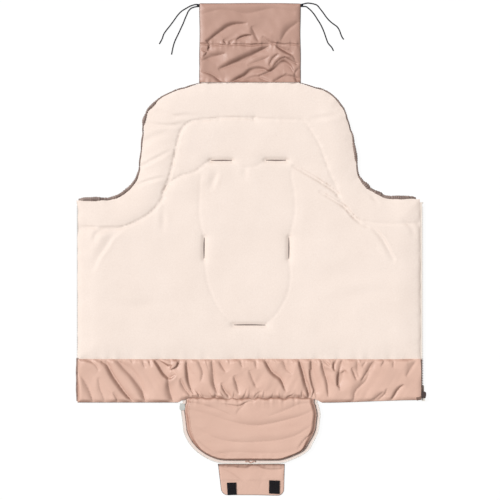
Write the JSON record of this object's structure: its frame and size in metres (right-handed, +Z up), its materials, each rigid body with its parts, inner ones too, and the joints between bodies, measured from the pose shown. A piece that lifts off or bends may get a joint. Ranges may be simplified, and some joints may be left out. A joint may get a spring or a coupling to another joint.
{
  "type": "stroller footmuff",
  "caption": "Padded stroller footmuff laid open flat: harness-slotted back, zip-edged side wings, folding foot panel with closing tab, gathered hood edge and top flap with cord ties.",
  "frame": {"origin": "underside of the back panel, midway between the two waist harness slots", "axes": "+Y towards the head end and the top flap, +Z up out of the lining, +X to the right seen from above with the head end away"},
  "size_m": [0.8738, 1.2349, 0.019],
  "materials": {
    "fleece": "matte plush",
    "satin": "satin weave",
    "dark_satin": "satin weave",
    "binding": "matte",
    "wadding": "matte fibre",
    "tape": "matte weave",
    "teeth": "moulded",
    "hook_tape": "matte hooks",
    "cord": "braided",
    "elastic": "matte",
    "slider": "satin"
  },
  "bodies": {
    "root": {"shell_centre": "satin", "wadding_centre": "wadding", "lining_centre": "fleece", "foot_band_centre": "satin", "slot_shoulder_left": "binding", "slot_shoulder_right": "binding", "slot_waist_left": "binding", "slot_waist_right": "binding", "slot_crotch": "binding", "hood_casing_head_left": "dark_satin", "hood_casing_head_right": "dark_satin", "hem_zip_tape_centre_left": "tape", "hem_zip_tape_centre_right": "tape"},
    "left_wing": {"shell_left": "satin", "wadding_left": "wadding", "lining_left": "fleece", "foot_band_left": "satin", "zip_tape_left": "tape", "zip_chain_left": "teeth", "zip_pin": "teeth", "hem_zip_tape_left": "tape", "hood_casing_left": "dark_satin", "hood_elastic_left": "elastic", "loop_patch_left": "hook_tape"},
    "right_wing": {"shell_right": "satin", "wadding_right": "wadding", "lining_right": "fleece", "foot_band_right": "satin", "zip_tape_right": "tape", "zip_chain_right": "teeth", "zip_box": "teeth", "hem_zip_tape_right": "tape", "hood_casing_right": "dark_satin", "hood_elastic_right": "elastic", "loop_patch_right": "hook_tape"},
    "foot_panel": {"foot_panel_shell": "satin", "foot_panel_wadding": "wadding", "foot_panel_lining": "satin", "foot_panel_piping": "dark_satin", "foot_zip_tape": "tape", "foot_zip_coil": "teeth", "foot_zip_stop": "slider"},
    "tab": {"tab_outer": "satin", "tab_inner": "satin", "hook_patch_left": "hook_tape", "hook_patch_right": "hook_tape"},
    "flap": {"flap_back": "dark_satin", "flap_front": "dark_satin", "cord_left_outer": "cord", "cord_left_inner": "cord", "cord_right_outer": "cord", "cord_right_inner": "cord"},
    "front_zip_slider": {"front_slider": "slider"},
    "front_zip_pull": {"front_pull": "slider"},
    "foot_zip_slider": {"foot_slider": "slider"},
    "foot_zip_pull": {"foot_pull": "slider"}
  },
  "joints": [
    {"name": "left_wing_fold", "type": "hinge", "parent": "root", "child": "left_wing", "pos_m": [-0.2195, 0, 0.0193], "axis": [0, 1, 0], "range_deg": [0, 175]},
    {"name": "right_wing_fold", "type": "hinge", "parent": "root", "child": "right_wing", "pos_m": [0.2195, 0, 0.0193], "axis": [0, -1, 0], "range_deg": [0, 175]},
    {"name": "foot_panel_fold", "type": "hinge", "parent": "root", "child": "foot_panel", "pos_m": [0, -0.3827, 0.0193], "axis": [-1, 0, 0], "range_deg": [0, 90]},
    {"name": "tab_fold", "type": "hinge", "parent": "foot_panel", "child": "tab", "pos_m": [0, -0.53785, 0.013], "axis": [-1, 0, 0], "range_deg": [0, 170]},
    {"name": "flap_fold", "type": "hinge", "parent": "root", "child": "flap", "pos_m": [0, 0.41415, 0.0193], "axis": [1, 0, 0], "range_deg": [0, 175]},
    {"name": "front_zip", "type": "slide", "parent": "right_wing", "child": "front_zip_slider", "axis": [0, 1, 0], "range_m": [0, 0.469]},
    {"name": "front_pull_swing", "type": "hinge", "parent": "front_zip_slider", "child": "front_zip_pull", "pos_m": [0.4334, -0.3647, 0.0055], "axis": [-1, 0, 0], "range_deg": [-10, 90]},
    {"name": "foot_zip", "type": "slide", "parent": "foot_panel", "child": "foot_zip_slider", "axis": [0, -1, 0], "range_m": [0, 0.044]},
    {"name": "foot_pull_swing", "type": "hinge", "parent": "foot_zip_slider", "child": "foot_zip_pull", "pos_m": [-0.1692, -0.3948, 0.0055], "axis": [1, 0, 0], "range_deg": [-10, 90]}
  ]
}
